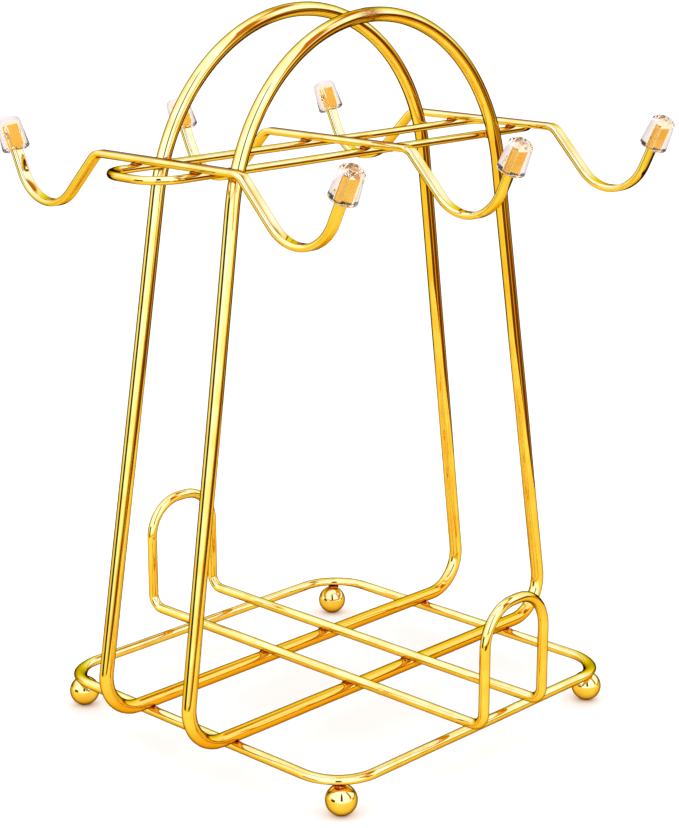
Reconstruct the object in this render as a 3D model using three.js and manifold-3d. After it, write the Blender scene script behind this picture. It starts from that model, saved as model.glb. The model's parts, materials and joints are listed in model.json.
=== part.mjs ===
// A gold wire mug tree: two tall wire hoops stand on a square wire base with four ball feet. A saucer
// rack lies across the hoops at the bottom, and a narrow wire loop between them carries three flat strips
// whose bent ends are six mug hooks, each with a clear soft cap pushed over its tip.
// Millimetres, +Z up, +X along the hoops, +Y along the hook strips, origin on the floor under the middle.

import * as THREE from "three";
import { mergeVertices } from "three/addons/utils/BufferGeometryUtils.js";
import Module from "manifold-3d";

const wasm = await Module();
wasm.setup();

// Gaps and welds
const GAP = 0.3; // clearance between neighbouring pieces
const SET_DOWN = 0.8; // how far crossing wires are pressed into each other by their resistance weld

// Ball feet
const BALL_R = 6.6;
const BALL_FLAT_R = 1.3; // small worn flat that the ball stands on
const BALL_X = 80.3; // just inside the base ring's corners
const BALL_Y = 79.9;

// Base ring
const RING_WIRE_R = 2.2;
const RING_HALF_X = 88;
const RING_HALF_Y = 86;
const RING_CORNER_R = 20;
const RING_Z = 15.5;

// Hoops
const HOOP_WIRE_R = 3;
const HOOP_TOP_Z = 307; // centre line at the crown
const HOOP_ARCH_R = 81.7;
const HOOP_FOOT_HALF_X = 115; // where the legs' lines would meet the bottom run
const HOOP_CORNER_R = 17.4;
const HOOP_Z = RING_Z + RING_WIRE_R + HOOP_WIRE_R - SET_DOWN;
const HOOP_Y_AT_FOOT = 25.9;
const HOOP_Y_AT_TOP = 20.7;

// Saucer rack
const RACK_WIRE_R = 2.25;
const RACK_HALF_X = 19;
const RACK_HALF_Y = 102;
const RACK_Z = HOOP_Z + HOOP_WIRE_R + RACK_WIRE_R - SET_DOWN;
const RACK_BEND_R = 6;
const RACK_ARCH_Z = 75.4; // centre line at the arches' tops
const RACK_ARCH_R = 17;

// Hook carrier
const CARRIER_WIRE_R = 1.7;
const CARRIER_HALF_X = 115.6;
const CARRIER_HALF_Y = 17.3;
const CARRIER_CORNER_R = 13;
const CARRIER_Z = 250.8;

// Hook strips
const STRIP_WIDTH = 5.6;
const STRIP_THICKNESS = 2.9;
const STRIP_EDGE_R = 1;
const STRIP_SPACING_X = 94.9;
const STRIP_Z = CARRIER_Z + CARRIER_WIRE_R + GAP + STRIP_THICKNESS / 2;
const STRIP_FLAT_HALF_Y = 38.9;
const STRIP_SHOULDER_R = 6.6;
const STRIP_SLOPE_DEG = 46;
const STRIP_SLOPE_LENGTH = 21.8;
const HOOK_R = 19.2;
const TIP_DEG = 65; // how steeply a tip rises, leaning outwards
const TIP_LENGTH = 20.5;

// Tip caps
const CAP_LENGTH = 13.7;
const CAP_MOUTH_R = 5.9;
const CAP_TIP_R = 5.1;
const CAP_DOME_R = 2.4;
const CAP_LIP_R = 1.1;
const CAP_SLOT_DEPTH = 11;

// Facets
const WIRE_SIDES = 10;
const HOOP_SIDES = 12;
const BEND_STEP_DEG = 11.3;
const ARCH_STEP_DEG = 6;
const BALL_SEGMENTS = 16;
const CAP_SEGMENTS = 16;

const GOLD = new THREE.MeshStandardMaterial({ color: 0xf9bd3a, roughness: 0.12, metalness: 1 });
const CLEAR = new THREE.MeshStandardMaterial({ color: 0xf3ece6, roughness: 0.15, metalness: 0 });
CLEAR.transparent = true;
CLEAR.opacity = 0.4;

const radians = THREE.MathUtils.degToRad;
const point = (x, y, z) => new THREE.Vector3(x, y, z);

// A path through given points, with one section of the sweep at each of them.
class PointPath extends THREE.Curve {
  constructor(points, closed) {
    super();
    this.points = points;
    this.closed = closed;
    this.steps = closed ? points.length : points.length - 1;
  }

  at(index) {
    const count = this.points.length;
    if (this.closed) return this.points[(index + count) % count];
    return this.points[THREE.MathUtils.clamp(index, 0, count - 1)];
  }

  getPointAt(u) {
    return this.at(Math.round(u * this.steps)).clone();
  }

  getTangentAt(u) {
    const index = Math.round(u * this.steps);
    const before = this.at(index).clone().sub(this.at(index - 1)).normalize();
    const after = this.at(index + 1).clone().sub(this.at(index)).normalize();
    return before.add(after).normalize();
  }

  computeFrenetFrames(segments) {
    return super.computeFrenetFrames(segments, this.closed);
  }
}

// The arc that rounds the corner at `at`, between the points before and after it.
function cornerArc(before, at, after, radius) {
  const toBefore = before.clone().sub(at).normalize();
  const toAfter = after.clone().sub(at).normalize();
  const inner = toBefore.angleTo(toAfter);
  const cut = radius / Math.tan(inner / 2);
  const start = at.clone().addScaledVector(toBefore, cut);
  const inward = toBefore.clone().add(toAfter).normalize();
  const centre = at.clone().addScaledVector(inward, radius / Math.sin(inner / 2));
  const axis = toAfter.clone().cross(toBefore).normalize();
  const turn = Math.PI - inner;
  const steps = Math.ceil(turn / radians(BEND_STEP_DEG));
  return Array.from({ length: steps + 1 }, (_, i) =>
    start.clone().sub(centre).applyAxisAngle(axis, (turn * i) / steps).add(centre),
  );
}

// Points of a closed path whose corners are { at, r }; a corner with no r is kept as a plain point.
function roundedPath(corners) {
  const count = corners.length;
  return corners.flatMap(({ at, r }, i) => {
    if (!r) return [at];
    const before = corners[(i + count - 1) % count].at;
    const after = corners[(i + 1) % count].at;
    return cornerArc(before, at, after, r);
  });
}

const round = (at, r) => ({ at, r });
const pass = (at) => ({ at });

function circleShape(radius) {
  const shape = new THREE.Shape();
  shape.absarc(0, 0, radius, 0, 2 * Math.PI, false);
  return shape;
}

// A geometry with only its positions, its shared vertices merged.
function bare(positions) {
  const geometry = new THREE.BufferGeometry();
  geometry.setAttribute("position", new THREE.Float32BufferAttribute(positions, 3));
  return mergeVertices(geometry, 1e-3);
}

// A closed loop of round wire: the sweep's side walls, whose first and last sections meet.
function wireLoop(points, radius, sides) {
  const path = new PointPath(points, true);
  const options = { steps: path.steps, extrudePath: path, curveSegments: sides / 2 };
  const sweep = new THREE.ExtrudeGeometry(circleShape(radius), options);
  const walls = sweep.groups.find((group) => group.materialIndex === 1);
  const positions = sweep.getAttribute("position").array;
  return bare(positions.slice(3 * walls.start, 3 * (walls.start + walls.count)));
}

function toSolid(geometry) {
  const loose = geometry.index ? geometry.toNonIndexed() : geometry;
  const merged = bare(loose.getAttribute("position").array);
  const vertProperties = new Float32Array(merged.getAttribute("position").array);
  const triVerts = new Uint32Array(merged.index.array);
  return new wasm.Manifold(new wasm.Mesh({ numProp: 3, vertProperties, triVerts }));
}

function toGeometry(solid) {
  const { vertProperties, triVerts } = solid.getMesh();
  const geometry = new THREE.BufferGeometry();
  geometry.setAttribute("position", new THREE.BufferAttribute(vertProperties, 3));
  geometry.setIndex(new THREE.BufferAttribute(triVerts, 1));
  geometry.computeVertexNormals();
  return geometry;
}

// The geometry less its neighbours, which are given already grown by the gap.
function cutBy(geometry, neighbours) {
  const cut = neighbours.reduce((left, neighbour) => left.subtract(toSolid(neighbour)), toSolid(geometry));
  return toGeometry(cut);
}

// A rounded rectangle that lies level.
function levelLoop(halfX, halfY, z, cornerR) {
  const quarters = [
    [1, -1],
    [1, 1],
    [-1, 1],
    [-1, -1],
  ];
  return roundedPath(quarters.map(([x, y]) => round(point(x * halfX, y * halfY, z), cornerR)));
}

function ringPoints() {
  return levelLoop(RING_HALF_X, RING_HALF_Y, RING_Z, RING_CORNER_R);
}

function carrierPoints() {
  return levelLoop(CARRIER_HALF_X, CARRIER_HALF_Y, CARRIER_Z, CARRIER_CORNER_R);
}

// The front hoop, in a plane that leans a little towards the middle as it rises.
function hoopPoints() {
  const archZ = HOOP_TOP_Z - HOOP_ARCH_R;
  const drop = archZ - HOOP_Z;
  const footAngle = Math.atan2(-drop, HOOP_FOOT_HALF_X);
  const tangentAngle = footAngle + Math.acos(HOOP_ARCH_R / Math.hypot(HOOP_FOOT_HALF_X, drop));
  const sweep = Math.PI - 2 * tangentAngle;
  const steps = Math.ceil(sweep / radians(ARCH_STEP_DEG));
  const lean = (HOOP_Y_AT_FOOT - HOOP_Y_AT_TOP) / (HOOP_TOP_Z - HOOP_Z);
  const at = (x, z) => point(x, lean * (z - HOOP_Z) - HOOP_Y_AT_FOOT, z);
  const arch = Array.from({ length: steps + 1 }, (_, i) => {
    const angle = tangentAngle + (sweep * i) / steps;
    return pass(at(HOOP_ARCH_R * Math.cos(angle), archZ + HOOP_ARCH_R * Math.sin(angle)));
  });
  const rightFoot = round(at(HOOP_FOOT_HALF_X, HOOP_Z), HOOP_CORNER_R);
  const leftFoot = round(at(-HOOP_FOOT_HALF_X, HOOP_Z), HOOP_CORNER_R);
  return roundedPath([rightFoot, ...arch, leftFoot]);
}

// Out along one rail, up over the rear arch, back along the other rail and over the front arch.
function rackPoints() {
  const end = (side) => [
    round(point(side * RACK_HALF_X, side * RACK_HALF_Y, RACK_Z), RACK_BEND_R),
    round(point(side * RACK_HALF_X, side * RACK_HALF_Y, RACK_ARCH_Z), RACK_ARCH_R),
    round(point(-side * RACK_HALF_X, side * RACK_HALF_Y, RACK_ARCH_Z), RACK_ARCH_R),
    round(point(-side * RACK_HALF_X, side * RACK_HALF_Y, RACK_Z), RACK_BEND_R),
  ];
  return roundedPath([...end(1), ...end(-1)]);
}

// Half of a hook strip's centre line, from the middle to the rear tip.
function halfStripPoints() {
  const points = [point(0, 0, STRIP_Z)];
  const heading = () => point(0, Math.cos(radians(pitch)), Math.sin(radians(pitch)));
  const last = () => points[points.length - 1];
  let pitch = 0;
  const run = (length) => points.push(last().clone().addScaledVector(heading(), length));
  const bend = (degrees, radius) => {
    const toCentre = heading().applyAxisAngle(point(1, 0, 0), (Math.sign(degrees) * Math.PI) / 2);
    const centre = last().clone().addScaledVector(toCentre, radius);
    const start = last().clone().sub(centre);
    const steps = Math.ceil(Math.abs(degrees) / BEND_STEP_DEG);
    for (let i = 1; i <= steps; i += 1) {
      points.push(start.clone().applyAxisAngle(point(1, 0, 0), (radians(degrees) * i) / steps).add(centre));
    }
    pitch += degrees;
  };
  run(STRIP_FLAT_HALF_Y);
  bend(-STRIP_SLOPE_DEG, STRIP_SHOULDER_R);
  run(STRIP_SLOPE_LENGTH);
  bend(STRIP_SLOPE_DEG + TIP_DEG, HOOK_R);
  run(TIP_LENGTH);
  return points;
}

function roundedBar(width, thickness, radius) {
  const x = width / 2 - radius;
  const y = thickness / 2 - radius;
  const shape = new THREE.Shape();
  shape.absarc(x, y, radius, 0, 0.5 * Math.PI, false);
  shape.absarc(-x, y, radius, 0.5 * Math.PI, Math.PI, false);
  shape.absarc(-x, -y, radius, Math.PI, 1.5 * Math.PI, false);
  shape.absarc(x, -y, radius, 1.5 * Math.PI, 2 * Math.PI, false);
  return shape;
}

function stripGeometry() {
  const half = halfStripPoints();
  const front = half.slice(1).map((at) => point(at.x, -at.y, at.z)).reverse();
  const path = new PointPath([...front, ...half.slice(1)], false);
  const section = roundedBar(STRIP_WIDTH, STRIP_THICKNESS, STRIP_EDGE_R);
  return new THREE.ExtrudeGeometry(section, { steps: path.steps, extrudePath: path, curveSegments: 1 });
}

function ballGeometry() {
  const low = Math.asin(BALL_FLAT_R / BALL_R);
  const centreZ = BALL_R * Math.cos(low);
  const rings = BALL_SEGMENTS / 2;
  const arc = Array.from({ length: rings + 1 }, (_, i) => {
    const angle = low + ((Math.PI - low) * i) / rings;
    return new THREE.Vector2(BALL_R * Math.sin(angle), centreZ - BALL_R * Math.cos(angle));
  });
  arc[rings].x = 0;
  const geometry = new THREE.LatheGeometry([new THREE.Vector2(0, 0), ...arc], BALL_SEGMENTS);
  return geometry.rotateX(Math.PI / 2);
}

// A cap that stands on its mouth: tapered, domed, with a blind slot for the strip's end.
function capGeometry() {
  const profile = new THREE.Path();
  profile.moveTo(0, 0);
  profile.lineTo(CAP_MOUTH_R - CAP_LIP_R, 0);
  profile.absarc(CAP_MOUTH_R - CAP_LIP_R, CAP_LIP_R, CAP_LIP_R, -Math.PI / 2, 0, false);
  profile.absarc(CAP_TIP_R - CAP_DOME_R, CAP_LENGTH - CAP_DOME_R, CAP_DOME_R, 0, Math.PI / 2, false);
  profile.lineTo(0, CAP_LENGTH);
  const outline = profile.getPoints(2);
  const body = new THREE.LatheGeometry(outline, CAP_SEGMENTS).rotateX(Math.PI / 2);
  const slotDepth = CAP_SLOT_DEPTH + GAP;
  const slot = new THREE.BoxGeometry(STRIP_WIDTH + 2 * GAP, STRIP_THICKNESS + 2 * GAP, slotDepth);
  slot.translate(0, 0, CAP_SLOT_DEPTH - slotDepth / 2);
  return cutBy(body, [slot]);
}

const tree = new THREE.Group();

function add(name, geometry, material, place = point(0, 0, 0)) {
  const mesh = new THREE.Mesh(geometry, material);
  mesh.name = name;
  mesh.position.copy(place);
  tree.add(mesh);
  return mesh;
}

const ends = [
  ["front", -1],
  ["rear", 1],
];
const sides = [
  ["left", -1],
  ["right", 1],
];

// Base
const grownHoop = wireLoop(hoopPoints(), HOOP_WIRE_R + GAP, HOOP_SIDES);
const grownRearHoop = grownHoop.clone().rotateZ(Math.PI);
const grownRack = wireLoop(rackPoints(), RACK_WIRE_R + GAP, WIRE_SIDES);

add("base_ring", cutBy(wireLoop(ringPoints(), RING_WIRE_R, WIRE_SIDES), [grownHoop, grownRearHoop]), GOLD);

for (const [end, endSign] of ends) {
  for (const [side, sideSign] of sides) {
    add(`ball_foot_${end}_${side}`, ballGeometry(), GOLD, point(sideSign * BALL_X, endSign * BALL_Y, 0));
  }
}

// Hoops and saucer rack
const hoopGeometry = cutBy(wireLoop(hoopPoints(), HOOP_WIRE_R, HOOP_SIDES), [grownRack]);
for (const [end, endSign] of ends) {
  add(`hoop_${end}`, hoopGeometry, GOLD).rotation.z = endSign > 0 ? Math.PI : 0;
}
add("saucer_rack", wireLoop(rackPoints(), RACK_WIRE_R, WIRE_SIDES), GOLD);

// Hook carrier, strips and caps
const carrierGeometry = wireLoop(carrierPoints(), CARRIER_WIRE_R, WIRE_SIDES);
add("hook_carrier", cutBy(carrierGeometry, [grownHoop, grownRearHoop]), GOLD);

const tip = halfStripPoints().pop();
const mouthBack = CAP_SLOT_DEPTH - GAP;
const mouthY = tip.y - mouthBack * Math.cos(radians(TIP_DEG));
const mouthZ = tip.z - mouthBack * Math.sin(radians(TIP_DEG));
for (const [label, step] of [...sides, ["middle", 0]]) {
  const x = step * STRIP_SPACING_X;
  add(`hook_strip_${label}`, stripGeometry(), GOLD, point(x, 0, 0));
  for (const [end, endSign] of ends) {
    const cap = add(`tip_cap_${label}_${end}`, capGeometry(), CLEAR, point(x, endSign * mouthY, mouthZ));
    cap.rotation.x = -endSign * radians(90 - TIP_DEG);
  }
}

export default tree;
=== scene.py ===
import json
import math

import bmesh
import bpy
from mathutils import Matrix, Quaternion, Vector, noise


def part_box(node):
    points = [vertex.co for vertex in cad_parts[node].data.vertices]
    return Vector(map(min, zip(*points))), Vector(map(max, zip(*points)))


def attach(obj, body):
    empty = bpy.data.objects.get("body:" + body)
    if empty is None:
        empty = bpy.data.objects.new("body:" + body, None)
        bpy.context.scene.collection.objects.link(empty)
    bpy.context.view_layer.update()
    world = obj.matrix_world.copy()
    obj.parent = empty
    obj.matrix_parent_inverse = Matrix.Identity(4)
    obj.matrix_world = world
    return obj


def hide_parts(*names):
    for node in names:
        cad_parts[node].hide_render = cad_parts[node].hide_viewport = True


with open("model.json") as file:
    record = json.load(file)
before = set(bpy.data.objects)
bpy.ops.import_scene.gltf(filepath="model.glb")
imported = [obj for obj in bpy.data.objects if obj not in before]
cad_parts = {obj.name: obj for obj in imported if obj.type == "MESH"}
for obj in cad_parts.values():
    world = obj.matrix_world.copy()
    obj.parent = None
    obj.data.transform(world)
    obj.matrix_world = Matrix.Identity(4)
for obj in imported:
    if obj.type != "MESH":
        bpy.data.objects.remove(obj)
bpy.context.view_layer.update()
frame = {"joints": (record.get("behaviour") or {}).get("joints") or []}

MM = 0.001

# Camera
CAMERA_PLACE = Vector((-0.621191, -0.596041, 0.371424))
CAMERA_AZIMUTH = math.radians(-46.285)
CAMERA_ELEVATION = math.radians(15.379)
CAMERA_LENS = 89.18

# Table top, small enough for the wires to mirror its edge
FLOOR_R = 0.34
FLOOR_CENTRE = (0.09, 0.02, 0)

# Wire and bend radii, as the frame has them
RING_WIRE_R = 2.2 * MM
RING_CORNER_R = 20 * MM
HOOP_WIRE_R = 3 * MM
HOOP_ARCH_R = 81.7 * MM
HOOP_CORNER_R = 17.4 * MM
RACK_WIRE_R = 2.25 * MM
RACK_BEND_R = 6 * MM
RACK_ARCH_R = 17 * MM
CARRIER_WIRE_R = 1.7 * MM
CARRIER_CORNER_R = 13 * MM

# Hook strips: flat run, shoulder, slope, hook and tip
STRIP_WIDTH = 5.6 * MM
STRIP_THICKNESS = 2.9 * MM
STRIP_EDGE_R = 1.25 * MM
STRIP_FLAT_HALF_Y = 38.9 * MM
STRIP_SHOULDER_R = 6.6 * MM
STRIP_SLOPE = math.radians(46)
STRIP_SLOPE_LENGTH = 21.8 * MM
HOOK_R = 19.2 * MM
TIP_RISE = math.radians(65)
TIP_LENGTH = 20.5 * MM
END_TAPER = 0.86  # how much narrower a strip's cut end is
GAP = 0.3 * MM

# Caps
CAP_LENGTH = 13.7 * MM
CAP_CROWN = 0.12 * MM  # how far the domed tip rises over its round rim
CAP_MOUTH_R = 5.9 * MM
CAP_TIP_R = 5.1 * MM
CAP_DOME_R = 2.4 * MM
CAP_LIP_R = 0.9 * MM
CAP_SLOT_DEPTH = 11 * MM
CAP_GRIP = 0.02 * MM  # how far the soft socket is pressed into the strip
SOCKET_SQUARENESS = 5
# (how much wider, height over the mouth)
SOCKET_FLARE = ((0.15 * MM, 0), (0.04 * MM, 0.15 * MM), (0, 0.4 * MM))

# Balls
BALL_FLAT_R = 1.3 * MM

# Mesh fineness
WIRE_STEP = 1.2 * MM
STRIP_STEP = 0.8 * MM
WIRE_SIDES = 20
BAR_CORNER_STEPS = 6
TURN_STEP = math.radians(2)
CAP_SIDES = 48
DOME_STEPS = 8
LIP_STEPS = 6
BALL_SIDES = 48
BALL_STEPS = 40
CAP_POLE_SHARE = 0.02  # of the tip's radius, left flat at the pole
BALL_POLE_R = 0.02 * MM

# Slight waves that a bent wire keeps
WAVE = 0.12 * MM
WAVE_REACH = 45 * MM
WAVE_SEED = 5
noise.seed_set(WAVE_SEED)

# The base ring is pressed flatter where a ball is welded under each of its corners
PRESS_REACH = 12 * MM
PRESS_THINNER = 0.22
PRESS_WIDER = 0.38

# Seams, heat marks, and painted shade: a deeper, more orange plate painted along the hoops' bottom runs
RING_SEAM_X = 22 * MM
RACK_SEAM_Y = -45 * MM
CROWN_SEAM_X = -4 * MM
BUTT_SWELL = 0.045
BUTT_REACH = 1.6 * MM
HEAT_REACH = 3.4 * MM
GROUND_REACH = 5.5 * MM
# The painted shade on the hoops' bottom runs: the height over which it fades out, and how far it rises
SHADE_FADE = 9 * MM
SHADE_RISE = 10 * MM  # over the top of the bottom runs

# Half sizes of the weld metal squeezed out between two pieces, and how far it sits from where they touch
RACK_BEAD = (3.0 * MM, 2.9 * MM, 0.9 * MM)
BALL_BEAD = (2.6 * MM, 2.6 * MM, 0.7 * MM)
RING_BEAD = (1.5 * MM, 1.3 * MM, 1.2 * MM)
STRIP_BEAD = (3.3 * MM, 1.9 * MM, 0.7 * MM)
CARRIER_BEAD = (3.2 * MM, 0.9 * MM, 2.0 * MM)
RING_BEAD_ASIDE = 3.0 * MM
RING_BEAD_DROP = 0.9 * MM
BEAD_RISE = 0.1 * MM
BEAD_LUMPS = 0.22
BEAD_LUMP_RATE = 1.7
BEAD_VARIETY = 400  # makes each bead's lumps differ with its place

UP = Vector((0, 0, 1))
ACROSS = Vector((1, 0, 0))
SIDES = {"left": -1, "right": 1}
ENDS = {"front": -1, "rear": 1}


# ---------------------------------------------------------------- camera, floor and light


def make_camera():
    """A camera at the photograph's viewing angle, with no shift and no depth of field."""
    data = bpy.data.cameras.new("camera")
    data.sensor_width = 36
    data.lens = CAMERA_LENS
    camera = bpy.data.objects.new("camera", data)
    bpy.context.scene.collection.objects.link(camera)
    flat = math.cos(CAMERA_ELEVATION)
    back = Vector((
        math.sin(CAMERA_AZIMUTH) * flat,
        -math.cos(CAMERA_AZIMUTH) * flat,
        math.sin(CAMERA_ELEVATION),
    ))
    camera.location = CAMERA_PLACE
    camera.rotation_mode = "QUATERNION"
    camera.rotation_quaternion = (-back).to_track_quat("-Z", "Y")
    bpy.context.scene.camera = camera


class Tree:
    """A node tree under construction."""

    def __init__(self, owner):
        owner.use_nodes = True
        self.tree = owner.node_tree
        self.tree.nodes.clear()

    def add(self, kind, values=(), **settings):
        """A new node with these settings, and these input values or links by input name or number."""
        made = self.tree.nodes.new(kind)
        for key, value in settings.items():
            setattr(made, key, value)
        for key, value in dict(values).items():
            if isinstance(value, bpy.types.NodeSocket):
                self.tree.links.new(value, made.inputs[key])
            else:
                made.inputs[key].default_value = value
        return made

    def math(self, operation, *values):
        return self.add("ShaderNodeMath", enumerate(values), operation=operation).outputs[0]

    def noise(self, vector, scale, detail, distortion=0.0):
        values = {"Vector": vector, "Scale": scale, "Detail": detail, "Distortion": distortion}
        return self.add("ShaderNodeTexNoise", values).outputs[0]

    def point_value(self, name):
        return self.add("ShaderNodeAttribute", attribute_name=name).outputs["Fac"]

    def ramp(self, value, stops):
        """A soft ramp through (place, colour) stops."""
        made = self.add("ShaderNodeValToRGB", {"Fac": value})
        ramp = made.color_ramp
        ramp.interpolation = "EASE"
        while len(ramp.elements) < len(stops):
            ramp.elements.new(0.5)
        for element, (place, colour) in zip(ramp.elements, stops):
            element.position = place
            element.color = (*colour, 1)
        return made.outputs["Color"]

    def blend(self, share, first, second):
        """A colour between two others."""
        return self.add("ShaderNodeMix", {0: share, 6: first, 7: second}, data_type="RGBA").outputs[2]

    def light(self, colour, strength=1.0):
        return self.add("ShaderNodeBackground", {"Color": colour, "Strength": strength}).outputs[0]

    def either(self, share, first, second):
        """The first shader where the share is 0, the second where it is 1."""
        return self.add("ShaderNodeMixShader", {0: share, 1: first, 2: second}).outputs[0]


# Radiances, named for how the plated metal shows them; the boxes' blue keeps bright gold cream, not lemon
CREAM = (1.3, 2.0, 14.0)
PALE = (1.22, 1.75, 6.0)
YELLOW = (1.12, 1.1, 0.6)
AMBER = (0.95, 0.62, 0.3)
BROWN = (0.62, 0.27, 0.08)
RUST = (0.18, 0.06, 0.03)
OLIVE = (0.04, 0.05, 0.02)
DARK = (0.05, 0.02, 0.01)

# What stands round the object, painted one over the other: azimuth from and to (0 at the camera, plus to its
# right), elevation from and to, softness of the edges, all in degrees, and radiance
STUDIO = (
    (-200, -118, -42, 7, 6, OLIVE),
    (118, 200, -42, 7, 6, DARK),
    (-200, 200, 62, 95, 10, CREAM),
    (-200, -92, 24, 70, 12, CREAM),
    (-200, -155, 8, 48, 8, CREAM),
    (-104, -76, -6, 30, 10, PALE),
    (-88, -3, 12, 64, 5, CREAM),
    (-76, -45, -14, 11, 3, OLIVE),
    (-44, 84, -8, 9, 3, PALE),
    (-40, 10, -1, 10, 5, CREAM),
    (-5, 12, 12, 62, 3, DARK),
    (11, 66, 12, 62, 3, CREAM),
    (24, 60, -2, 14, 5, CREAM),
    (66, 82, 14, 60, 4, BROWN),
    (96, 160, 49, 60, 5, BROWN),
    (84, 200, 8, 48, 6, CREAM),
    (86, 102, -24, 5, 3, RUST),
    (-90, -12, -32, -15, 4, YELLOW),
    (-8, 110, -32, -10, 3, RUST),
    (37, 50, -32, -13, 4, AMBER),
    (104, 118, -24, 5, 4, AMBER),
)

# Even light on whatever isn't polished, from the horizon to the zenith
FILL_LOW = 1.15
FILL_HIGH = 1.55

# What lies behind the object, and what its clear pieces show
WHITE = (1, 1, 1, 1)
BACKDROP_LEVEL = 1.15
BACKDROP_ACROSS = (-40, 40, 36)  # from, to and softness, in degrees from straight behind the object
BACKDROP_UPWARD = (-50, 16, 24)
ASIDE_LEVEL = 0.85  # where a clear piece bends the view away from the backdrop
THROUGH_CLEAR = (1, 0.94, 0.93, 1)
CLEAR_GLOSS = (0.45, 0.40, 0.41, 1)  # mirrored on a clear piece
CASED_GLOSS = (1.3, 1.1, 0.75, 1)  # mirrored inside one, mostly by the gold it covers


def panel_mask(tree, angle, low, high, soft):
    """1 between two angles and 0 outside them, with soft edges."""
    off = tree.math("ABSOLUTE", tree.math("SUBTRACT", angle, (low + high) / 2))
    made = tree.add(
        "ShaderNodeMath",
        {0: off, 1: -1 / soft, 2: (high - low) / 2 / soft + 0.5},
        operation="MULTIPLY_ADD",
        use_clamp=True,
    )
    return made.outputs[0]


def panel(tree, azimuth, elevation, across, upward):
    """1 inside a panel and 0 outside it; each of its two spans is a (from, to, softness)."""
    return tree.math("MULTIPLY", panel_mask(tree, azimuth, *across), panel_mask(tree, elevation, *upward))


def ray_direction(tree):
    """A ray's azimuth and elevation in degrees, and how far up it points, from -1 to 1."""
    direction = tree.add("ShaderNodeTexCoord").outputs["Generated"]
    turned = tree.add(
        "ShaderNodeMapping",
        {"Vector": direction, "Rotation": (0, 0, -CAMERA_AZIMUTH)},
        vector_type="POINT",
    ).outputs[0]
    xyz = tree.add("ShaderNodeSeparateXYZ", {0: turned}).outputs
    behind = tree.math("MULTIPLY", xyz["Y"], -1.0)
    azimuth = tree.math("DEGREES", tree.math("ARCTAN2", xyz["X"], behind))
    elevation = tree.math("DEGREES", tree.math("ARCSINE", xyz["Z"]))
    return azimuth, elevation, xyz["Z"]


def studio_colour(tree, azimuth, elevation):
    """The softboxes and dark flags that the plated metal mirrors."""
    colour = (*YELLOW, 1)
    for left, right, low, high, soft, radiance in STUDIO:
        inside = panel(tree, azimuth, elevation, (left, right, soft), (low, high, soft))
        colour = tree.blend(inside, colour, (*radiance, 1))
    return colour


def level_through_clear(tree, azimuth, elevation):
    """How bright it is through a clear piece: as the backdrop straight behind it, and dimmer elsewhere."""
    from_behind = tree.math("SUBTRACT", 180.0, tree.math("ABSOLUTE", azimuth))
    straight = panel(tree, from_behind, elevation, BACKDROP_ACROSS, BACKDROP_UPWARD)
    return tree.math("MULTIPLY_ADD", straight, BACKDROP_LEVEL - ASIDE_LEVEL, ASIDE_LEVEL)


def make_world():
    """A white backdrop, a studio for the plated metal to mirror, and even light for the rest."""
    world = bpy.data.worlds.new("studio")
    bpy.context.scene.world = world
    tree = Tree(world)
    azimuth, elevation, upward = ray_direction(tree)
    path = tree.add("ShaderNodeLightPath").outputs
    not_from_floor = tree.math("LESS_THAN", path["Diffuse Depth"], 0.5)
    off_metal = tree.math("MULTIPLY", path["Is Glossy Ray"], not_from_floor)
    off_clear = tree.math("MULTIPLY", path["Is Glossy Ray"], path["Is Singular Ray"])
    inside_clear = tree.math(
        "MULTIPLY",
        tree.math("GREATER_THAN", path["Glossy Depth"], 0.5),
        tree.math("GREATER_THAN", path["Transmission Depth"], 1.5),
    )
    fill = tree.light(WHITE, tree.math("MULTIPLY_ADD", upward, FILL_HIGH - FILL_LOW, FILL_LOW))
    studio = tree.light(studio_colour(tree, azimuth, elevation))
    through = tree.light(THROUGH_CLEAR, level_through_clear(tree, azimuth, elevation))
    past_clear = tree.either(inside_clear, through, tree.light(CASED_GLOSS))
    shown = tree.either(off_metal, fill, studio)
    shown = tree.either(off_clear, shown, tree.light(CLEAR_GLOSS))
    shown = tree.either(path["Is Transmission Ray"], shown, past_clear)
    shown = tree.either(path["Is Camera Ray"], shown, tree.light(WHITE, BACKDROP_LEVEL))
    tree.add("ShaderNodeOutputWorld", {"Surface": shown})


def make_floor():
    """A round white table top."""
    shape = bmesh.new()
    bmesh.ops.create_circle(shape, cap_ends=True, cap_tris=True, radius=FLOOR_R, segments=96)
    mesh = bpy.data.meshes.new("studio_floor")
    shape.to_mesh(mesh)
    shape.free()
    floor = bpy.data.objects.new("studio_floor", mesh)
    floor.location = FLOOR_CENTRE
    bpy.context.scene.collection.objects.link(floor)
    material = bpy.data.materials.new("floor_white")
    tree = Tree(material)
    spread = tree.add("ShaderNodeTexNoise", {"Scale": 3.0}).outputs[0]
    colour = tree.ramp(spread, [(0.3, (0.91, 0.905, 0.95)), (0.7, (0.93, 0.925, 0.97))])
    shader = tree.add("ShaderNodeBsdfDiffuse", {"Color": colour})
    tree.add("ShaderNodeOutputMaterial", {"Surface": shader.outputs[0]})
    mesh.materials.append(material)


scene = bpy.context.scene
scene.view_settings.view_transform = "Standard"
make_camera()
make_floor()
make_world()


# ---------------------------------------------------------------- materials


# The plate, from pale to deep, and the painted shade that deepens it along the hoops' bottom runs
GOLD_PALE = (1.0, 0.75, 0.085)
GOLD_DEEP = (1.0, 0.65, 0.055)
GOLD_PAINTED_SHADE = (0.98, 0.52, 0.02)

# What a weld's heat leaves on the wire, where it was ground flush, and on the weld metal
HEAT_TINT = (0.50, 0.10, 0.012)
GROUND_DARK = (0.20, 0.055, 0.008)
GROUND_BRIGHT = (0.95, 0.42, 0.04)
WELD_STOPS = ((0.35, (0.42, 0.09, 0.01)), (0.55, (0.85, 0.28, 0.02)), (0.75, (1.0, 0.42, 0.04)))

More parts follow.
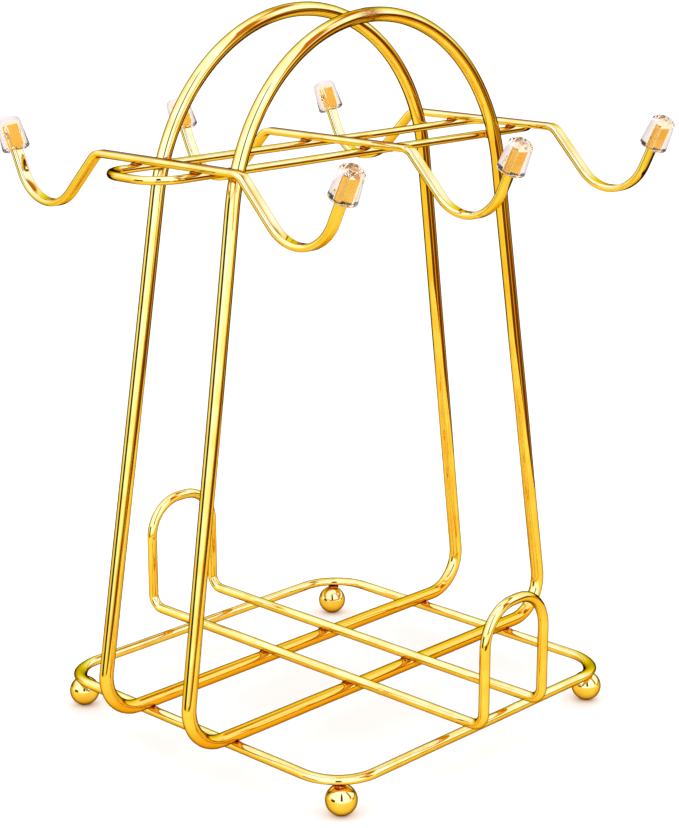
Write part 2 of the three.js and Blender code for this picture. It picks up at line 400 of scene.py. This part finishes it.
# How the plate darkens towards an outline, and the tint of the lacquer over it; both are weaker on the strips
GOLD_EDGE = (0.02, 0.01, 0.0, 1)
LACQUER = (0.90, 0.80, 0.66, 1)
STRIP_EDGE = (0.80, 0.56, 0.20, 1)
STRIP_LACQUER = (0.88, 0.80, 0.74, 1)

# Clear vinyl
VINYL_IOR = 1.45
VINYL_MILKY = (0.90, 0.85, 0.85)
VINYL_CLEAR = (0.95, 0.91, 0.91)


def micro_bump(tree, height, strength, distance):
    return tree.add(
        "ShaderNodeBump",
        {"Height": height, "Strength": strength, "Distance": distance},
    ).outputs[0]


def finish_material(tree, values):
    shader = tree.add("ShaderNodeBsdfPrincipled", values)
    tree.add("ShaderNodeOutputMaterial", {"Surface": shader.outputs[0]})


def finish_plated(tree, colour, roughness, normal, edge=GOLD_EDGE, lacquer=LACQUER):
    """Bright plate under a thin tinted lacquer."""
    finish_material(tree, {
        "Base Color": colour,
        "Metallic": 1.0,
        "Roughness": roughness,
        "Specular Tint": edge,
        "Coat Weight": 1.0,
        "Coat IOR": 1.0,
        "Coat Tint": lacquer,
        "Normal": normal,
    })


def gold_wire_material(name, edge, lacquer):
    """Electroplated wire: drawn lines along it, a slightly uneven plate, red-brown marks at the welds, and
    painted shade deepening the plate along the hoops' bottom runs.
    """
    material = bpy.data.materials.new(name)
    tree = Tree(material)
    along = tree.add("ShaderNodeAttribute", attribute_name="wire_mm").outputs["Vector"]
    heat = tree.point_value("heat")
    ground = tree.point_value("ground")
    drawn = tree.add("ShaderNodeMapping", {"Vector": along, "Scale": (0.06, 1.0, 1.0)}).outputs[0]
    lines = tree.noise(drawn, 3.2, 3.0)
    cloud = tree.noise(along, 0.09, 3.0)
    peel = tree.noise(along, 1.1, 2.0)
    grit = tree.noise(along, 2.6, 5.0)
    plate = tree.ramp(cloud, [(0.35, GOLD_DEEP), (0.65, GOLD_PALE)])
    # Painted shade: the plate turns deeper and more orange towards the bottom of the hoops' bottom runs
    shaded_plate = tree.blend(tree.point_value("burn_and_shade"), plate, (*GOLD_PAINTED_SHADE, 1))
    tinted = tree.blend(tree.math("MULTIPLY", heat, 0.85), shaded_plate, (*HEAT_TINT, 1))
    spots = tree.ramp(grit, [(0.42, GROUND_DARK), (0.60, GROUND_BRIGHT)])
    polished = tree.math("MULTIPLY_ADD", lines, 0.03, 0.015)
    dulled = tree.math("MULTIPLY_ADD", heat, 0.22, polished)
    fine = tree.math("MULTIPLY_ADD", lines, 0.25, peel)
    height = tree.math("MULTIPLY_ADD", tree.math("MULTIPLY", grit, ground), 9.0, fine)
    finish_plated(
        tree,
        colour=tree.blend(ground, tinted, spots),
        roughness=tree.math("MULTIPLY_ADD", ground, 0.30, dulled),
        normal=micro_bump(tree, height, 0.06, 0.05 * MM),
        edge=edge,
        lacquer=lacquer,
    )
    return material


def polished_gold_material():
    """Ball feet: bright polished plate with faint swirls and a few pits."""
    material = bpy.data.materials.new("gold_plated_ball")
    tree = Tree(material)
    place = tree.add("ShaderNodeTexCoord").outputs["Object"]
    cloud = tree.noise(place, 160.0, 3.0)
    swirl = tree.noise(place, 420.0, 4.0, distortion=1.4)
    finish_plated(
        tree,
        colour=tree.ramp(cloud, [(0.35, GOLD_DEEP), (0.65, GOLD_PALE)]),
        roughness=tree.math("MULTIPLY_ADD", swirl, 0.07, 0.02),
        normal=micro_bump(tree, swirl, 0.12, 0.04 * MM),
    )
    return material


def weld_material():
    """Plated weld metal: lumpy, duller and browner than the wire."""
    material = bpy.data.materials.new("gold_plated_weld")
    tree = Tree(material)
    place = tree.add("ShaderNodeTexCoord").outputs["Object"]
    # Random burnt tone of the weld metal
    burn_and_shade = tree.noise(place, 700.0, 4.0)
    grain = tree.noise(place, 2400.0, 3.0)
    finish_plated(
        tree,
        colour=tree.ramp(burn_and_shade, WELD_STOPS),
        roughness=tree.math("MULTIPLY_ADD", grain, 0.25, 0.12),
        normal=micro_bump(tree, grain, 0.5, 0.06 * MM),
    )
    return material


def clear_cap_material():
    """Soft clear vinyl, faintly milky and pink, with the slight waviness of a dipped or moulded cap."""
    material = bpy.data.materials.new("clear_vinyl")
    tree = Tree(material)
    place = tree.add("ShaderNodeTexCoord").outputs["Object"]
    haze = tree.noise(place, 220.0, 3.0)
    wave = tree.noise(place, 330.0, 2.0)
    finish_material(tree, {
        "Base Color": tree.ramp(haze, [(0.3, VINYL_MILKY), (0.7, VINYL_CLEAR)]),
        "Transmission Weight": tree.math("MULTIPLY_ADD", haze, -0.05, 0.99),
        "Roughness": 0.0,
        "IOR": VINYL_IOR,
        "Normal": micro_bump(tree, wave, 0.08, 0.1 * MM),
    })
    return material


GOLD_WIRE = gold_wire_material("gold_plated_wire", GOLD_EDGE, LACQUER)
GOLD_STRIP = gold_wire_material("gold_plated_strip", STRIP_EDGE, STRIP_LACQUER)
GOLD_BALL = polished_gold_material()
GOLD_WELD = weld_material()
CLEAR_CAP = clear_cap_material()


# ---------------------------------------------------------------- lines


def corner_arc(before, at, after, radius):
    """Points of the arc that rounds the corner at `at`."""
    to_before = (before - at).normalized()
    to_after = (after - at).normalized()
    inner = to_before.angle(to_after)
    start = at + to_before * radius / math.tan(inner / 2)
    centre = at + (to_before + to_after).normalized() * radius / math.sin(inner / 2)
    axis = to_after.cross(to_before).normalized()
    turn = math.pi - inner
    steps = math.ceil(turn / TURN_STEP)
    return [centre + Quaternion(axis, turn * i / steps) @ (start - centre) for i in range(steps + 1)]


def rounded_loop(corners):
    """Points of a closed line that rounds each of its (corner, radius) pairs."""
    points = []
    for i, (at, radius) in enumerate(corners):
        points += corner_arc(corners[i - 1][0], at, corners[(i + 1) % len(corners)][0], radius)
    return points


def evenly(points, closed, step):
    """The same line with points at even distances."""
    line = points + points[:1] if closed else points
    lengths = [0.0]
    for before, after in zip(line, line[1:]):
        lengths.append(lengths[-1] + (after - before).length)
    count = max(2, round(lengths[-1] / step))
    made, i = [], 0
    for k in range(count if closed else count + 1):
        wanted = lengths[-1] * k / count
        while i < len(line) - 2 and lengths[i + 1] < wanted:
            i += 1
        span = lengths[i + 1] - lengths[i]
        share = (wanted - lengths[i]) / span if span > 0 else 0
        made.append(line[i].lerp(line[i + 1], share))
    return made


def bent_wire(points):
    """A closed wire's line, in even steps, with the slight waves of hand bending."""
    return [p + WAVE * Vector(noise.noise_vector(p / WAVE_REACH)) for p in evenly(points, True, WIRE_STEP)]


# ---------------------------------------------------------------- meshes


def round_section(radius, sides=WIRE_SIDES):
    angles = [2 * math.pi * i / sides for i in range(sides)]
    return [(radius * math.cos(a), radius * math.sin(a)) for a in angles]


def bar_section(width, thickness, edge_r):
    """A flat bar's section with rounded edges; its first axis is the width."""
    points = []
    corners = ((1, 1, 0), (-1, 1, 90), (-1, -1, 180), (1, -1, 270))
    for sign_a, sign_b, start in corners:
        for i in range(BAR_CORNER_STEPS + 1):
            angle = math.radians(start + 90 * i / BAR_CORNER_STEPS)
            a = sign_a * (width / 2 - edge_r) + edge_r * math.cos(angle)
            b = sign_b * (thickness / 2 - edge_r) + edge_r * math.sin(angle)
            points.append((a, b))
    return points


def carried_frames(points, side, closed):
    """(tangent, side) at each point: the side is carried along untwisted, and joined up on a closed line."""
    count = len(points)
    tangents = []
    for i in range(count):
        before = points[i - 1] if closed or i else points[i]
        after = points[(i + 1) % count] if closed or i < count - 1 else points[i]
        tangents.append((after - before).normalized())
    sides = [(side - tangents[0] * side.dot(tangents[0])).normalized()]
    for before, after in zip(tangents, tangents[1:]):
        sides.append((before.rotation_difference(after) @ sides[-1]).normalized())
    if closed:
        carried = tangents[-1].rotation_difference(tangents[0]) @ sides[-1]
        twist = math.atan2(tangents[0].dot(carried.cross(sides[0])), carried.dot(sides[0]))
        sides = [
            Quaternion(tangent, twist * i / count) @ untwisted
            for i, (tangent, untwisted) in enumerate(zip(tangents, sides))
        ]
    return list(zip(tangents, sides))


def skin(rings, closed):
    """A mesh over rings of points, capped at both ends unless it is closed."""
    shape = bmesh.new()
    made = [[shape.verts.new(p) for p in ring] for ring in rings]
    pairs = list(zip(made, made[1:])) + ([(made[-1], made[0])] if closed else [])
    for low, high in pairs:
        for i in range(len(low)):
            j = (i + 1) % len(low)
            shape.faces.new((low[i], low[j], high[j], high[i]))
    if not closed:
        shape.faces.new(made[0][::-1])
        shape.faces.new(made[-1])
    bmesh.ops.recalc_face_normals(shape, faces=shape.faces)
    for face in shape.faces:
        face.smooth = len(face.verts) == 4
    return shape


def turned(outline, centre, sides):
    """A shape turned about an upright axis, from (radius, height) pairs."""
    circle = round_section(1.0, sides)
    return [[Vector((centre.x + r * a, centre.y + r * b, z)) for a, b in circle] for r, z in outline]


def marks(places, reach, point):
    """How strongly any of these places marks this point, from 0 to 1."""
    return max((math.exp(-(((point - at).length / reach) ** 2)) for at in places), default=0.0)


def place_piece(name, shape, material, body, replaced=()):
    """Turns a bmesh into a piece that rides on a body, has a slot and stands for its CAD nodes."""
    mesh = bpy.data.meshes.new(name)
    shape.to_mesh(mesh)
    shape.free()
    mesh.materials.append(material)
    piece = bpy.data.objects.new(name, mesh)
    bpy.context.scene.collection.objects.link(piece)
    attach(piece, body)
    if replaced:
        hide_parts(*replaced)
    return piece


def sweep(name, points, section, closed, node, side=UP, butt_weld=None, pressed=(), shaded_below=-1.0,
          tapered_ends=False, material=GOLD_WIRE):
    """A wire or bar along a line, with the coordinates, weld marks and painted shade that its material reads.
    """
    frames = carried_frames(points, side, closed)
    rings, coords, run = [], [], 0.0
    last = len(points) - 1
    for i, (at, (tangent, across)) in enumerate(zip(points, frames)):
        swell = 1.0
        if butt_weld is not None:
            swell += BUTT_SWELL * marks([butt_weld], BUTT_REACH, at)
        if tapered_ends and i in (0, last):
            swell = END_TAPER
        upward = tangent.cross(across)
        press = marks(pressed, PRESS_REACH, at)
        thinner, wider = 1 - PRESS_THINNER * press, 1 + PRESS_WIDER * press
        rings.append([at + (across * a * thinner + upward * b * wider) * swell for a, b in section])
        run += (at - points[i - 1]).length if i else 0.0
        coords += [(run / MM, a / MM, b / MM) for a, b in section]
    mesh = place_piece(name, skin(rings, closed), material, "frame", [node]).data
    places = [v.co.copy() for v in mesh.vertices]
    values = {
        "wire_mm": ("FLOAT_VECTOR", "vector", coords),
        "heat": ("FLOAT", "value", [marks(HEAT_PLACES, HEAT_REACH, p) for p in places]),
        "ground": ("FLOAT", "value", [marks(GROUND_PLACES, GROUND_REACH, p) for p in places]),
        # Painted shade: full low down, fading out up to the given height
        "burn_and_shade": ("FLOAT", "value", [max(0.0, min(1.0, (shaded_below - p.z) / SHADE_FADE)) for p in places]),
    }
    for label, (kind, field, numbers) in values.items():
        layer = mesh.attributes.new(label, kind, "POINT")
        for datum, number in zip(layer.data, numbers):
            setattr(datum, field, number)


# ---------------------------------------------------------------- places, from the frame


ring_low, ring_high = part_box("base_ring")
hoop_low, hoop_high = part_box("hoop_front")
rack_low, rack_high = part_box("saucer_rack")
carrier_low, carrier_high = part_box("hook_carrier")

RING_HALF = (ring_high.x - RING_WIRE_R, ring_high.y - RING_WIRE_R)
RING_Z = (ring_low.z + ring_high.z) / 2
HOOP_FOOT_Z = hoop_low.z + HOOP_WIRE_R
HOOP_TOP_Z = hoop_high.z - HOOP_WIRE_R
HOOP_FOOT_Y = hoop_low.y + HOOP_WIRE_R
HOOP_TOP_Y = hoop_high.y - HOOP_WIRE_R
RACK_HALF = (rack_high.x - RACK_WIRE_R, rack_high.y - RACK_WIRE_R)
RACK_Z = rack_low.z + RACK_WIRE_R
RACK_ARCH_Z = rack_high.z - RACK_WIRE_R
CARRIER_HALF = (carrier_high.x - CARRIER_WIRE_R, carrier_high.y - CARRIER_WIRE_R)
CARRIER_Z = (carrier_low.z + carrier_high.z) / 2
STRIP_Z = carrier_high.z + GAP + STRIP_THICKNESS / 2
# Top of the painted shade on the hoops
SHADE_TOP_Z = HOOP_FOOT_Z + HOOP_WIRE_R + SHADE_RISE


def four_places(x, y, z):
    """A place and its mirror images in the two upright planes through the middle."""
    return [Vector((sx * x, sy * y, z)) for sx in (-1, 1) for sy in (-1, 1)]


def level_loop(half, z, corner_r):
    corners = ((1, -1), (1, 1), (-1, 1), (-1, -1))
    return rounded_loop([(Vector((sx * half[0], sy * half[1], z)), corner_r) for sx, sy in corners])


def hoop_y(z):
    """Where the front hoop's centre line stands at a height."""
    share = (z - HOOP_FOOT_Z) / (HOOP_TOP_Z - HOOP_FOOT_Z)
    return HOOP_FOOT_Y + share * (HOOP_TOP_Y - HOOP_FOOT_Y)


def hoop_line():
    """The front hoop: a round arch and two round corners, joined by the straight runs that touch them."""
    arch = Vector((0, HOOP_TOP_Z - HOOP_ARCH_R))
    foot = Vector((hoop_high.x - HOOP_WIRE_R - HOOP_CORNER_R, HOOP_FOOT_Z + HOOP_CORNER_R))
    between = arch - foot
    leg = math.atan2(between.y, between.x) - math.acos((HOOP_CORNER_R - HOOP_ARCH_R) / between.length)
    arcs = (
        (foot, HOOP_CORNER_R, -math.pi / 2, leg),
        (arch, HOOP_ARCH_R, leg, math.pi - leg),
        (Vector((-foot.x, foot.y)), HOOP_CORNER_R, math.pi - leg, 1.5 * math.pi),
    )
    points = []
    for centre, radius, start, end in arcs:
        steps = math.ceil((end - start) / TURN_STEP)
        for i in range(steps + 1):
            angle = start + (end - start) * i / steps
            z = centre.y + radius * math.sin(angle)
            points.append(Vector((centre.x + radius * math.cos(angle), hoop_y(z), z)))
    return points


def rack_line():
    """Along one rail, over the rear arch, back along the other rail and over the front arch."""
    corners = []
    for end in (1, -1):
        for x, z, radius in (
            (end, RACK_Z, RACK_BEND_R),
            (end, RACK_ARCH_Z, RACK_ARCH_R),
            (-end, RACK_ARCH_Z, RACK_ARCH_R),
            (-end, RACK_Z, RACK_BEND_R),
        ):
            corners.append((Vector((x * RACK_HALF[0], end * RACK_HALF[1], z)), radius))
    return rounded_loop(corners)


def half_strip_line(x):
    """From the middle of a strip to its rear tip."""
    points = [Vector((x, 0, STRIP_Z))]
    pitch = 0.0

    def run(length):
        points.append(points[-1] + length * Vector((0, math.cos(pitch), math.sin(pitch))))

    run(STRIP_FLAT_HALF_Y)
    for turn, radius, length in (
        (-STRIP_SLOPE, STRIP_SHOULDER_R, STRIP_SLOPE_LENGTH),
        (STRIP_SLOPE + TIP_RISE, HOOK_R, TIP_LENGTH),
    ):
        to_centre = math.copysign(radius, turn) * Vector((0, -math.sin(pitch), math.cos(pitch)))
        centre = points[-1] + to_centre
        steps = math.ceil(abs(turn) / TURN_STEP)
        points += [centre - Quaternion(ACROSS, turn * i / steps) @ to_centre for i in range(1, steps + 1)]
        pitch += turn
        run(length)
    return points


rack_welds = four_places(RACK_HALF[0], HOOP_FOOT_Y, (RACK_Z + HOOP_FOOT_Z) / 2)
ring_welds = four_places(RING_HALF[0], HOOP_FOOT_Y, (RING_Z + HOOP_FOOT_Z) / 2)
strip_x = {name: sum(b.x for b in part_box(f"hook_strip_{name}")) / 2 for name in ("left", "middle", "right")}
strip_welds = [
    Vector((x, sy * CARRIER_HALF[1], CARRIER_Z + CARRIER_WIRE_R))
    for x in strip_x.values()
    for sy in (-1, 1)
]
ring_seam = Vector((RING_SEAM_X, -RING_HALF[1], RING_Z))
rack_seam = Vector((-RACK_HALF[0], RACK_SEAM_Y, RACK_Z))
crown_seam = Vector((CROWN_SEAM_X, HOOP_TOP_Y, HOOP_TOP_Z))

HEAT_PLACES = rack_welds + ring_welds + strip_welds + [ring_seam, rack_seam]
GROUND_PLACES = [crown_seam + Vector((0, -HOOP_WIRE_R, 0))]


# ---------------------------------------------------------------- wires and strips


corner_in = RING_CORNER_R * (1 - math.sqrt(0.5))
ring_corners = four_places(RING_HALF[0] - corner_in, RING_HALF[1] - corner_in, RING_Z)
ring = bent_wire(level_loop(RING_HALF, RING_Z, RING_CORNER_R))
sweep(
    "base_ring_wire", ring, round_section(RING_WIRE_R), True, "base_ring",
    butt_weld=ring_seam, pressed=ring_corners,
)

front = bent_wire(hoop_line())
rear = bent_wire([Vector((-p.x, -p.y, p.z)) for p in hoop_line()])
hoop_section = round_section(HOOP_WIRE_R)
sweep(
    # Both hoops carry painted shade along their bottom runs
    "hoop_front_wire", front, hoop_section, True, "hoop_front",
    butt_weld=crown_seam, shaded_below=SHADE_TOP_Z,
)
sweep("hoop_rear_wire", rear, hoop_section, True, "hoop_rear", shaded_below=SHADE_TOP_Z)

rack = bent_wire(rack_line())
sweep("saucer_rack_wire", rack, round_section(RACK_WIRE_R), True, "saucer_rack", butt_weld=rack_seam)

carrier = bent_wire(level_loop(CARRIER_HALF, CARRIER_Z, CARRIER_CORNER_R))
sweep("hook_carrier_wire", carrier, round_section(CARRIER_WIRE_R), True, "hook_carrier")

strip_section = bar_section(STRIP_WIDTH, STRIP_THICKNESS, STRIP_EDGE_R)
for name, x in strip_x.items():
    half = half_strip_line(x)
    whole = [Vector((p.x, -p.y, p.z)) for p in reversed(half[1:])] + half
    line = evenly(whole, False, STRIP_STEP)
    sweep(
        f"hook_strip_{name}_bar", line, strip_section, False, f"hook_strip_{name}",
        side=ACROSS, tapered_ends=True, material=GOLD_STRIP,
    )


# ---------------------------------------------------------------- caps


def quarter_round(centre, radius, start, steps):
    """Outline points of a quarter circle, from an angle and on downwards."""
    angles = [start - math.pi / 2 * i / steps for i in range(steps + 1)]
    return [(centre[0] + radius * math.cos(a), centre[1] + radius * math.sin(a)) for a in angles]


def socket_section():
    """The socket's section: the strip's, a little too small for it."""
    half_a = STRIP_WIDTH / 2 - CAP_GRIP
    half_b = STRIP_THICKNESS / 2 - CAP_GRIP
    points = []
    for a, b in round_section(1.0, CAP_SIDES):
        out = (abs(a) ** SOCKET_SQUARENESS + abs(b) ** SOCKET_SQUARENESS) ** (-1 / SOCKET_SQUARENESS)
        points.append((half_a * a * out, half_b * b * out))
    return points


def cap_shape():
    """A cap that stands on its mouth at the origin, with a blind socket for the strip's end."""
    outline = [(CAP_TIP_R * CAP_POLE_SHARE, CAP_LENGTH + CAP_CROWN)]
    dome = (CAP_TIP_R - CAP_DOME_R, CAP_LENGTH - CAP_DOME_R)
    outline += quarter_round(dome, CAP_DOME_R, math.pi / 2, DOME_STEPS)
    lip = (CAP_MOUTH_R - CAP_LIP_R, CAP_LIP_R)
    outline += quarter_round(lip, CAP_LIP_R, 0, LIP_STEPS)[1:]
    rings = turned(outline, Vector((0, 0, 0)), CAP_SIDES)
    socket = socket_section()
    for grow, z in (*SOCKET_FLARE, (0, CAP_SLOT_DEPTH)):
        rings.append([
            Vector((a + math.copysign(grow, a), b + math.copysign(grow, b), z)) for a, b in socket
        ])
    return skin(rings, False)


joint_axis = {joint["child"]: Vector(joint["axis"]) for joint in frame["joints"]}
for name, x in strip_x.items():
    tip = half_strip_line(x)[-1]
    for end, sign in ENDS.items():
        axis = joint_axis[f"cap_{name}_{end}"].normalized()
        mouth = Vector((tip.x, sign * tip.y, tip.z)) - axis * (CAP_SLOT_DEPTH - GAP)
        leaning = Matrix((ACROSS, axis.cross(ACROSS), axis)).transposed().to_4x4()
        shape = cap_shape()
        bmesh.ops.transform(shape, matrix=Matrix.Translation(mouth) @ leaning, verts=shape.verts)
        bmesh.ops.recalc_face_normals(shape, faces=shape.faces)
        place_piece(
            f"tip_cap_{name}_{end}_vinyl", shape, CLEAR_CAP, f"cap_{name}_{end}",
            [f"tip_cap_{name}_{end}"],
        )


# ---------------------------------------------------------------- ball feet


def ball_shape(low, high):
    """A ball with the small flat it stands on."""
    radius = (high.x - low.x) / 2
    flat = math.asin(BALL_FLAT_R / radius)
    middle_z = low.z + radius * math.cos(flat)
    outline = [(BALL_POLE_R, low.z)]
    for i in range(BALL_STEPS):
        angle = flat + (math.pi - flat) * i / BALL_STEPS
        outline.append((radius * math.sin(angle), middle_z - radius * math.cos(angle)))
    outline.append((BALL_POLE_R, high.z))
    return skin(turned(outline, (low + high) / 2, BALL_SIDES), False)


for end in ENDS:
    for side in SIDES:
        node = f"ball_foot_{end}_{side}"
        place_piece(f"{node}_ball", ball_shape(*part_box(node)), GOLD_BALL, "frame", [node])


# ---------------------------------------------------------------- welds


def bead(name, at, half_size):
    """A small lump of weld metal, squeezed out where two wires were pressed together."""
    shape = bmesh.new()
    bmesh.ops.create_icosphere(shape, subdivisions=3, radius=1.0)
    for vert in shape.verts:
        lump = noise.noise(vert.co * BEAD_LUMP_RATE + at * BEAD_VARIETY)
        vert.co *= 1 + BEAD_LUMPS * lump
        vert.co = vert.co * Vector(half_size)
    bmesh.ops.translate(shape, vec=at, verts=shape.verts)
    for face in shape.faces:
        face.smooth = True
    place_piece(name, shape, GOLD_WELD, "frame")


for i, at in enumerate(rack_welds):
    bead(f"rack_weld_{i + 1}", at, RACK_BEAD)
for end, sy in ENDS.items():
    for side, sx in SIDES.items():
        low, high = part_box(f"ball_foot_{end}_{side}")
        ball = (low + high) / 2
        corner = next(c for c in ring_corners if c.x * sx > 0 and c.y * sy > 0)
        at = ball + (corner - ball).normalized() * ((high.x - low.x) / 2 + BEAD_RISE)
        bead(f"ball_weld_{end}_{side}", at, BALL_BEAD)
for i, at in enumerate(ring_welds):
    for end, sign in ENDS.items():
        bead(f"ring_weld_{i + 1}_{end}", at + Vector((0, sign * RING_BEAD_ASIDE, -RING_BEAD_DROP)), RING_BEAD)
for i, at in enumerate(strip_welds):
    bead(f"strip_weld_{i + 1}", at + Vector((0, 0, BEAD_RISE)), STRIP_BEAD)

# The carrier's long sides touch the hoops' arches from inside
touch_x = math.sqrt(HOOP_ARCH_R**2 - (CARRIER_Z - (HOOP_TOP_Z - HOOP_ARCH_R)) ** 2)
for side, sx in SIDES.items():
    for end, sy in ENDS.items():
        at = Vector((sx * touch_x, sy * (CARRIER_HALF[1] + CARRIER_WIRE_R), CARRIER_Z))
        bead(f"carrier_weld_{side}_{end}", at, CARRIER_BEAD)
